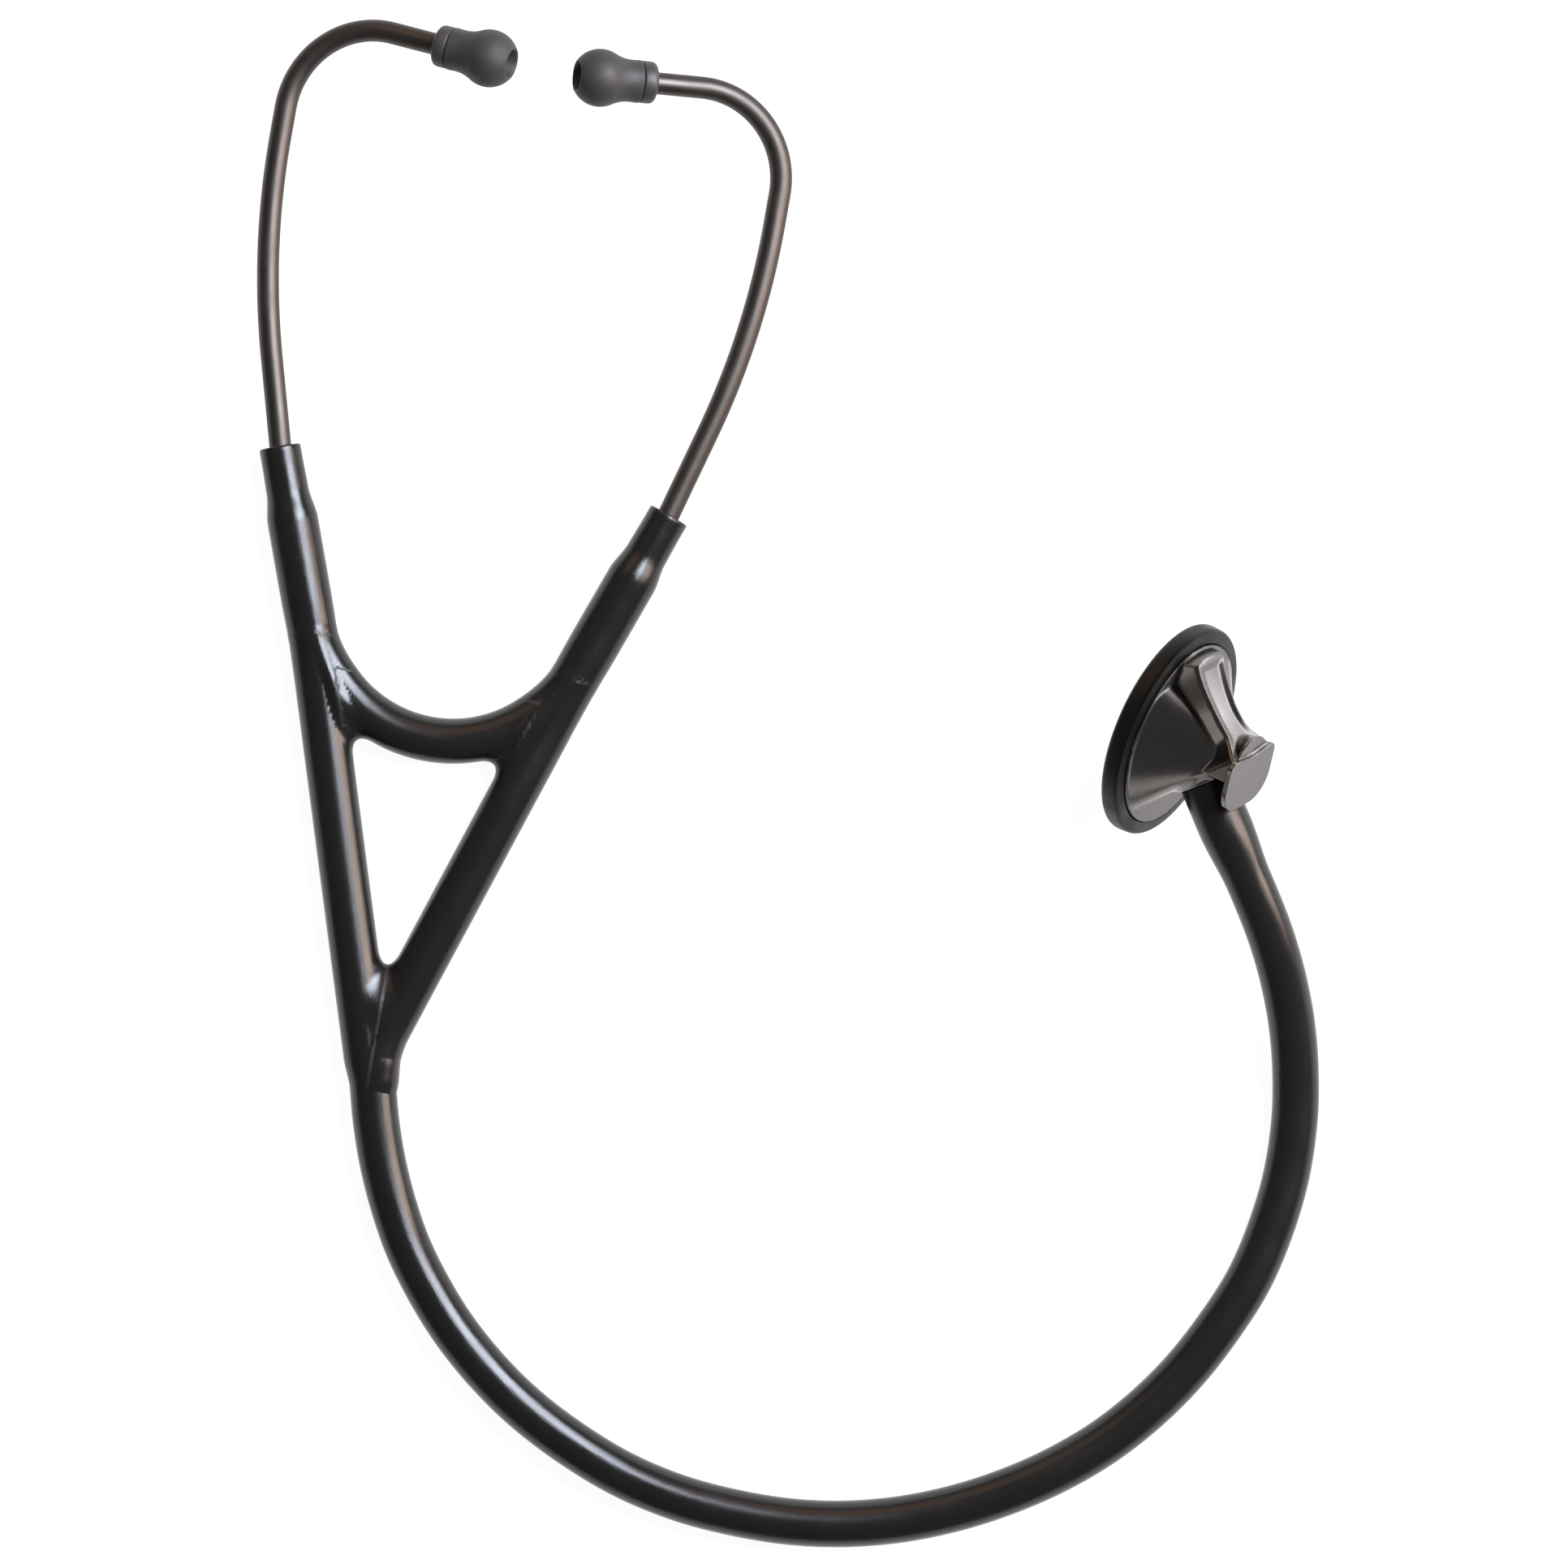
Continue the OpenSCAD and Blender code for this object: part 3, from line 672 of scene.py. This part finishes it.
bump_into(silicone, silicone_shader, mould_grain.outputs["Fac"], 0.02)
acetal, acetal_shader = new_material("moulded_acetal", "#302e2d", 0.48, IOR=1.48)
acetal_place = run_coordinates(acetal, 1.0)
acetal_grain = noise_on(acetal, acetal_place.outputs["Vector"], 0.5)
acetal_gloss = ramp_between(acetal, acetal_grain.outputs["Fac"], 0.42, 0.54, 0.3, 0.7)
link(acetal, acetal_gloss.outputs["Result"], acetal_shader.inputs["Roughness"])
bump_into(acetal, acetal_shader, acetal_grain.outputs["Fac"], 0.008)


def eartip_section():
    """Half section of the eartip, from the collar round the ball and back down the opening."""
    skirt_z = COLLAR_LENGTH + 0.55
    rows = [(TUBE_R + 0.1, COLLAR_LENGTH + 0.12), (SKIRT_R - 0.4, COLLAR_LENGTH + 0.12),
            (SKIRT_R - 0.15, COLLAR_LENGTH + 0.2), (SKIRT_R - 0.03, COLLAR_LENGTH + 0.34)]
    waist_angle = math.radians(117)
    ball_end = np.array([BALL_R * math.sin(waist_angle), BALL_AT + BALL_R * math.cos(waist_angle)])
    skirt_end = np.array([SKIRT_R, skirt_z])
    pull = 1.15 * (ball_end[1] - skirt_z)
    skirt_way = np.array([-0.10, 1.0]) * pull
    ball_way = np.array([-math.cos(waist_angle), math.sin(waist_angle)]) * pull
    for t in np.linspace(0, 1, 16)[:-1]:
        h1, h2 = 2 * t ** 3 - 3 * t ** 2 + 1, t ** 3 - 2 * t ** 2 + t
        rows.append(tuple(h1 * skirt_end + h2 * skirt_way + (1 - h1) * ball_end
                          + (t ** 3 - t ** 2) * ball_way))
    front = math.asin(TIP_MOUTH_R / BALL_R)
    for a in np.linspace(waist_angle, front + 0.07, 34):
        rows.append((BALL_R * math.sin(a), BALL_AT + BALL_R * math.cos(a)))
    rows += [(TIP_MOUTH_R + 0.14, TIP_END - 0.08), (TIP_MOUTH_R - 0.1, TIP_END - 0.1),
             (TIP_MOUTH_R - 0.35, TIP_END - 0.45), (3.0, TIP_END - 1.6), (2.3, BALL_AT + 2.5),
             (1.9, BALL_AT + 1), (1.9, BALL_AT - 3)]
    return rows


def collar_section():
    round_r = 1.2
    rows = [(TUBE_R - 0.1, 0.25), (TUBE_R + 0.25, 0.05), (COLLAR_R - round_r, 0)]
    rows += [(COLLAR_R - round_r + round_r * math.sin(a), round_r - round_r * math.cos(a))
             for a in np.radians(np.arange(15, 91, 15))]
    rows += [(COLLAR_R, COLLAR_LENGTH - 0.3), (COLLAR_R - 0.1, COLLAR_LENGTH - 0.08),
             (COLLAR_R - 0.3, COLLAR_LENGTH), (TUBE_R + 0.1, COLLAR_LENGTH)]
    return rows


def turned_facing_out(name, section, matrix, sides, test):
    """A turned piece with its faces outward, judged at the section's row number test."""
    piece = turned(name, section, matrix, sides)
    face = piece.data.polygons[test * sides]
    middle_height = (section[test][1] + section[test + 1][1]) / 2
    centre = Vector((apply(matrix, [(0, 0, middle_height)])[0] * MM).tolist())
    orient(piece, (test * sides, face.center - centre))
    return piece


for side, sign in (("left", -1), ("right", 1)):
    ear_frame = arm_frame(sign) @ ear_end
    tip = turned_facing_out(side + "_soft_tip", eartip_section(), ear_frame, 96, 5)
    finish_piece(tip, silicone, side + "_tip", [side + "_eartip"])
    collar = turned_facing_out(side + "_stop_collar", collar_section(), ear_frame, 72, 8)
    finish_piece(collar, acetal, side + "_tip", [side + "_tip_collar"])

# %% [markdown]
# ## Chestpiece body
#
# The body is cast in stainless steel, machined on its flange and finger pad, polished, and
# coated smoke grey. Under the pad a neck widens into a hollow-sided cone. Two cheeks, front
# and back, are flattened, and a spine with a shallow channel climbs the front one up to the
# pad. A boss on the other side holds the stem. The same field helpers join all of these; the
# fillets are small against the spine, where the casting has a crisp crease.

# %% Chestpiece body
BODY_R = 21.9
NECK_R = 5.2
FLANK_H = 15.5
CHEEK_X = 15.6
PAD_TOP = 19.9
PAD_T = 1.2
SPINE_FOOT = np.array([21.4, 2.9])
SPINE_TOP = np.array([3.4, 18.9])
SPINE_SAG = 1.8
HOSE_CLEARANCE = 0.3
span = SPINE_TOP - SPINE_FOOT
half_span = np.linalg.norm(span) / 2
SPINE_CURVE_R = half_span ** 2 / (2 * SPINE_SAG) + SPINE_SAG / 2
spine_side = unit(np.array([-span[1], span[0]]))
spine_side = spine_side * np.sign(spine_side[0])
SPINE_CENTRE = SPINE_FOOT + span / 2 + spine_side * (SPINE_CURVE_R - SPINE_SAG)
STEM_HEADING = np.array([-math.cos(math.radians(STEM_ANGLE)), 0, math.sin(math.radians(STEM_ANGLE))])


def rounded(a, b, radius):
    """Common part of two half spaces with an exactly round edge."""
    return np.minimum(np.maximum(a, b) + radius, 0) + np.hypot(
        np.maximum(a + radius, 0), np.maximum(b + radius, 0)) - radius


def pad_field(p):
    x, y, z = p.T
    side = np.abs(y - 0.8)
    back = np.hypot(x + 2.9, np.maximum(side - 3.2, 0)) - 6.8
    front = rounded(x - 4.1 + 0.8 * (1 - ease(side, 0, 9)), side - 10.0, 2.4)
    outline = np.where(x < -2.9, back, front)
    return rounded(outline, np.abs(z - PAD_TOP + PAD_T / 2) - PAD_T / 2, 0.22)


def flank_field(p):
    x, y, z = p.T
    h = np.clip(z, 0, FLANK_H)
    left = 1 - h / FLANK_H
    r = np.hypot(x, y)
    cone = (r - NECK_R - (BODY_R - 0.25 - NECK_R) * left ** 1.4) * 0.72
    cheek = (np.abs(x) - 2 - (CHEEK_X - 2) * left ** 1.15) * 0.76
    body = cut(cone, cheek, 2.0)
    return np.maximum(np.maximum(body, -0.6 - z), z - FLANK_H)


def spine_field(p):
    x, y, z = p.T
    away = np.hypot(x - SPINE_CENTRE[0], z - SPINE_CENTRE[1])
    above = SPINE_CURVE_R - away
    climb = ((x - SPINE_FOOT[0]) * span[0] + (z - SPINE_FOOT[1]) * span[1]) / (span @ span)
    width = 4.55 + 1.3 * (1 - ease(climb, 0, 0.6)) + 3.6 * ease(climb, 0.62, 1.02) ** 2
    width = width + 0.27 * np.clip(-above, 0, 6) * (1 - ease(climb, 0.6, 0.9))
    across = ease(np.abs(y) / width, 0.98, 0.48)
    channel = 0.4 * across * ease(climb, 0.05, 0.12) * (1 - 0.75 * ease(climb, 0.55, 0.9))
    face = rounded(above + channel, np.abs(y) - width, np.where(y > 0, 0.8, 0.35))
    round_foot = np.hypot(x, y) - SPINE_FOOT[0]
    return np.maximum.reduce([cut(face, round_foot, 0.4), -0.6 - z, -x - 2, z - PAD_TOP + 0.9])


def body_field(p):
    x, y, z = p.T
    r = np.hypot(x, y)
    disc = rounded(r - BODY_R, np.abs(z + 0.9) - 0.9, 0.18)
    neck = np.maximum(r - NECK_R - 2.2 * ease(z, 12.5, 19.2), np.abs(z - 9) - 9.9)
    from_foot = p - np.array([-STEM_FOOT[0], 0, -STEM_FOOT[2]])
    out = from_foot @ STEM_HEADING
    round_stem = np.linalg.norm(from_foot - out[:, None] * STEM_HEADING, axis=1)
    boss = rounded((round_stem - 6.65 + 0.3 * (out + HOSE_CLEARANCE)) * 0.95, out + HOSE_CLEARANCE, 0.3)
    boss = np.maximum(boss, -7 - out)
    flank = join(flank_field(p), neck, 2.5)
    flank = join(flank, boss, 2.0)
    body = join(disc, flank, 0.35)
    body = join(body, spine_field(p), 0.3)
    body = join(body, pad_field(p), 0.4)
    room = np.maximum(round_stem - 6.25 - HOSE_CLEARANCE, -HOSE_CLEARANCE - out)
    return np.maximum(body, -room)


body_points, body_normals, body_faces = surface(body_field, (-22.5, -22.5, -2.1), (22.5, 22.5, 20.4), 0.36)
body_piece = flowing("smoked_casting", body_points, body_normals, body_faces, chest, body_points)

# %% [markdown]
# ## Smoked steel
#
# Polished steel under a smoke-grey vapour coat: a dark metal, mirror-like on the flanks and
# spine. The finger pad and the flange were left as machined, so there the same metal is
# rougher and lighter. The mask that separates the two is the height on the casting itself.

# %% Smoked steel
smoked, shader = new_material("smoke_coated_steel", "#6d6966", 0.12, 1.0)
place = run_coordinates(smoked, 1.0)
height = add(smoked, "ShaderNodeSeparateXYZ", {"Vector": place.outputs["Vector"]})
on_pad = ramp_between(smoked, height.outputs["Z"], 0.0, 1.0, 19.80 * MM, 19.88 * MM)
on_flange = ramp_between(smoked, height.outputs["Z"], 1.0, 0.0, 0.04 * MM, 0.16 * MM)
machined = add(smoked, "ShaderNodeMath", {0: on_pad.outputs["Result"], 1: on_flange.outputs["Result"]},
               {"operation": "MAXIMUM"})
lapping = noise_on(smoked, place.outputs["Vector"], 0.30, detail=4.0)
cloud = noise_on(smoked, place.outputs["Vector"], 7.0)
polish = ramp_between(smoked, cloud.outputs["Fac"], 0.17, 0.24, 0.3, 0.7)
satin = ramp_between(smoked, lapping.outputs["Fac"], 0.30, 0.38, 0.3, 0.7)
gloss = add(smoked, "ShaderNodeMix", {"Factor": machined.outputs["Value"], "A": polish.outputs["Result"],
                                      "B": satin.outputs["Result"]})
link(smoked, gloss.outputs["Result"], shader.inputs["Roughness"])
bump_into(smoked, shader, lapping.outputs["Fac"], 0.0015)
finish_piece(body_piece, smoked, "chestpiece", ["chestpiece_body"])

# %% [markdown]
# ## Rim
#
# The rim is one soft ring that snaps over the flange and holds the diaphragm's surround. Its
# inner lip stands a little proud of the metal, with a thin dark groove between. It is turned,
# like its mould. Rubber here is satin, and gathers fine scuffs.

# %% Rim
RIM_R = 25.5
RIM_BACK = -0.4
RIM_FRONT = -5.0
LIP_R = 20.1


def rim_section():
    """Round the rim: back face, outer edge, front face, and the lip that holds the diaphragm."""
    rows = [(BODY_R + 0.12, -1.15), (BODY_R + 0.12, RIM_BACK - 0.35), (BODY_R + 0.22, RIM_BACK - 0.1),
            (BODY_R + 0.5, RIM_BACK), (BODY_R + 0.95, RIM_BACK), (BODY_R + 1.7, RIM_BACK - 0.07)]
    rows += [(RIM_R - 1.12 + 1.0 * math.sin(a), RIM_BACK - 1.18 + 1.0 * math.cos(a))
             for a in np.radians(np.arange(9, 88, 8))]
    rows += [(RIM_R - 0.05, RIM_BACK - 1.9), (RIM_R, RIM_BACK - 2.6), (RIM_R, RIM_BACK - 3.0)]
    rows += [(RIM_R - 1.2 + 1.2 * math.cos(a), RIM_FRONT + 1.2 - 1.2 * math.sin(a))
             for a in np.radians(np.arange(6, 91, 9))]
    rows += [(LIP_R + 0.5, RIM_FRONT), (LIP_R + 0.15, RIM_FRONT + 0.1), (LIP_R, RIM_FRONT + 0.35),
             (LIP_R, RIM_FRONT + 0.8), (BODY_R - 0.3, RIM_FRONT + 0.8), (BODY_R - 0.3, -2.5)]
    return rows


rim_rubber, shader = new_material("moulded_satin_rubber", "#1c1b1a", 0.42, IOR=1.52)
shader.inputs["Specular IOR Level"].default_value = 0.26
place = run_coordinates(rim_rubber, 1.0)
scuffs = noise_on(rim_rubber, place.outputs["Vector"], 0.4, detail=4.0)
wear = noise_on(rim_rubber, place.outputs["Vector"], 8.0)
gloss = ramp_between(rim_rubber, wear.outputs["Fac"], 0.34, 0.52, 0.3, 0.7)
link(rim_rubber, gloss.outputs["Result"], shader.inputs["Roughness"])
bump_into(rim_rubber, shader, scuffs.outputs["Fac"], 0.010)
rim = turned_facing_out("soft_rim", rim_section(), chest, 160, 10)
finish_piece(rim, rim_rubber, "chestpiece", ["rim"])

# %% [markdown]
# ## Diaphragm
#
# A stiff disc of glass-filled resin floats in a thin rubber surround and is what touches the
# skin. Its face is only seen from in front. It is turned as a disc with softly broken edges.

# %% Diaphragm
DIAPHRAGM_R = 19.7
resin, shader = new_material("glass_filled_resin_sheet", "#c9c8c2", 0.32, IOR=1.54)
place = run_coordinates(resin, 1.0)
fibres = noise_on(resin, place.outputs["Vector"], 0.6, detail=5.0)
shade = add(resin, "ShaderNodeMix", {"Factor": fibres.outputs["Fac"]}, {"data_type": "RGBA"})
shade.inputs["A"].default_value = colour("#bdbcb6")
shade.inputs["B"].default_value = colour("#d8d7d1")
link(resin, shade.outputs[2], shader.inputs["Base Color"])
gloss = ramp_between(resin, fibres.outputs["Fac"], 0.26, 0.42, 0.3, 0.7)
link(resin, gloss.outputs["Result"], shader.inputs["Roughness"])
bump_into(resin, shader, fibres.outputs["Fac"], 0.006)
FRONT = -4.8
rows = [(0.01, FRONT + 0.4), (8, FRONT + 0.4), (DIAPHRAGM_R - 0.12, FRONT + 0.4), (DIAPHRAGM_R, FRONT + 0.28),
        (DIAPHRAGM_R, FRONT + 0.12), (DIAPHRAGM_R - 0.12, FRONT), (8, FRONT), (0.01, FRONT)]
disc = turned("stiff_disc", rows, chest, 128)
orient(disc, (0, (chest[:3, 2]).tolist()))
finish_piece(disc, resin, "diaphragm", ["diaphragm"])

surround_rubber, shader = new_material("thin_surround_rubber", "#161617", 0.5, IOR=1.5)
place = run_coordinates(surround_rubber, 1.0)
grain = noise_on(surround_rubber, place.outputs["Vector"], 0.4)
gloss = ramp_between(surround_rubber, grain.outputs["Fac"], 0.42, 0.58, 0.3, 0.7)
link(surround_rubber, gloss.outputs["Result"], shader.inputs["Roughness"])
bump_into(surround_rubber, shader, grain.outputs["Fac"], 0.008)

# %% [markdown]
# ## Parts inside
#
# The leaf spring, its legs, the ferrules, the stem with its seal and clip, and the surround
# are the frame's own solids. They are hidden in use, and are finished here so that they look
# right when a tip is pulled off or the model is opened.


# %% Inner parts
def worked_metal(name, hex_code, roughness, grain_mm, depth_mm):
    """Metal in object coordinates, for the frame's own solids."""
    material, shader = new_material(name, hex_code, roughness, 1.0)
    place = add(material, "ShaderNodeTexCoord")
    grain = noise_on(material, place.outputs["Object"], grain_mm, detail=4.0)
    gloss = ramp_between(material, grain.outputs["Fac"], roughness - 0.08, roughness + 0.08, 0.3, 0.7)
    link(material, gloss.outputs["Result"], shader.inputs["Roughness"])
    bump_into(material, shader, grain.outputs["Fac"], depth_mm)
    return material


spring_steel = worked_metal("rolled_spring_steel", "#9a9ca0", 0.3, 0.5, 0.003)
stem_steel = worked_metal("turned_stainless_steel", "#a8a6a2", 0.22, 0.4, 0.002)
ferrule_metal = worked_metal("plated_brass", "#b9b4a6", 0.28, 0.4, 0.003)
seal_rubber, shader = new_material("nitrile_rubber", "#121213", 0.6, IOR=1.52)
place = add(seal_rubber, "ShaderNodeTexCoord")
grain = noise_on(seal_rubber, place.outputs["Object"], 0.3)
gloss = ramp_between(seal_rubber, grain.outputs["Fac"], 0.52, 0.68, 0.3, 0.7)
link(seal_rubber, gloss.outputs["Result"], shader.inputs["Roughness"])
bump_into(seal_rubber, shader, grain.outputs["Fac"], 0.008)
INNER_PARTS = {
    "leaf_spring": spring_steel, "left_spring_leg": spring_steel, "right_spring_leg": spring_steel,
    "stem": stem_steel, "stem_clip": spring_steel, "stem_seal": seal_rubber,
    "left_tip_ferrule": ferrule_metal, "right_tip_ferrule": ferrule_metal,
    "diaphragm_surround": surround_rubber,
}
for name, material in INNER_PARTS.items():
    part = bpy.data.objects[name]
    part.data.materials.clear()
    part.data.materials.append(material)
    print(name, "->", material.name)

# %% [markdown]
# ## Table and lights
#
# The table is a plain white sheet with a glow of its own, which keeps soft shadows very pale.
# Two tall panels to the right, one warm and low, one cool and higher, draw the double streak
# along every tube. A dim warm wall stands to the north. The polished casting and its dark rim
# are kept out of the two panels by light linking, or their flanks would mirror them and turn
# bright. The casting has two cards of its own instead, one to the left and one lying on the
# table, which no other piece sees. The rest of the room is dark. Light strengths are given as
# radiance, which is what a mirror sees.

# %% Table and lights
floor_mesh = bpy.data.meshes.new("table_top")
floor_mesh.from_pydata([(-3, -3, 0), (3, -3, 0), (3, 3, 0), (-3, 3, 0)], [], [(0, 1, 2, 3)])
floor = bpy.data.objects.new("table_top", floor_mesh)
scene.collection.objects.link(floor)
paper, shader = new_material("white_paper_sheet", "#6e6e6e", 0.9)
shader.inputs["Emission Color"].default_value = (1, 1, 1, 1)
shader.inputs["Emission Strength"].default_value = 0.95
shader.inputs["Specular IOR Level"].default_value = 0.0
floor.data.materials.append(paper)


def softbox(name, place, aim, size, radiance, tint):
    """An even panel of light at place, facing aim. size is width and height in metres."""
    light = bpy.data.lights.new(name, "AREA")
    light.shape = "RECTANGLE"
    light.size, light.size_y = size
    light.energy = radiance * math.pi * size[0] * size[1]
    light.color = colour(tint)[:3]
    lamp = bpy.data.objects.new(name, light)
    scene.collection.objects.link(lamp)
    lamp.location = place
    lamp.rotation_euler = (Vector(aim) - Vector(place)).to_track_quat("-Z", "Y").to_euler()
    return lamp


def heading(azimuth, elevation, distance):
    """A place around the table, from its compass angle and height angle in degrees."""
    a, e = math.radians(azimuth), math.radians(elevation)
    return (distance * math.cos(a) * math.cos(e), distance * math.sin(a) * math.cos(e),
            distance * math.sin(e))


warm_key = softbox("warm_key_panel", heading(2, 30, 1.35), (0, -0.03, 0), (0.42, 1.0), 11.0, "#ffe6d8")
cool_key = softbox("cool_key_panel", heading(34, 50, 1.35), (0, -0.03, 0), (0.62, 0.95), 25.0, "#e6eefc")
softbox("warm_wall", heading(100, 38, 1.5), (0, -0.05, 0), (1.5, 1.1), 1.2, "#d9a884")
left_card = softbox("left_card", heading(-150, 38, 1.2), (0.1, -0.05, 0.02), (0.8, 0.75), 1.2, "#f2efec")
table_card = softbox("table_card", (0.25, 0.0, 0.002), (0.25, 0.0, 1), (0.09, 0.24), 7.0, "#eef3fb")
shaded = bpy.data.collections.new("kept_out_of_the_keys")
for piece in (body_piece, rim):
    shaded.objects.link(piece)
for held_out in shaded.collection_objects:
    held_out.light_linking.link_state = "EXCLUDE"
for key in (warm_key, cool_key):
    key.light_linking.receiver_collection = shaded
chest_only = bpy.data.collections.new("lit_by_the_cards")
chest_only.objects.link(body_piece)
for card in (left_card, table_card):
    card.light_linking.receiver_collection = chest_only

world = bpy.data.worlds.new("dark_studio")
scene.world = world
world.use_nodes = True
room = world.node_tree.nodes["Background"]
room.inputs["Color"].default_value = colour("#ffffff")
room.inputs["Strength"].default_value = 0.16
scene.view_settings.view_transform = "Standard"
scene.view_settings.look = "None"
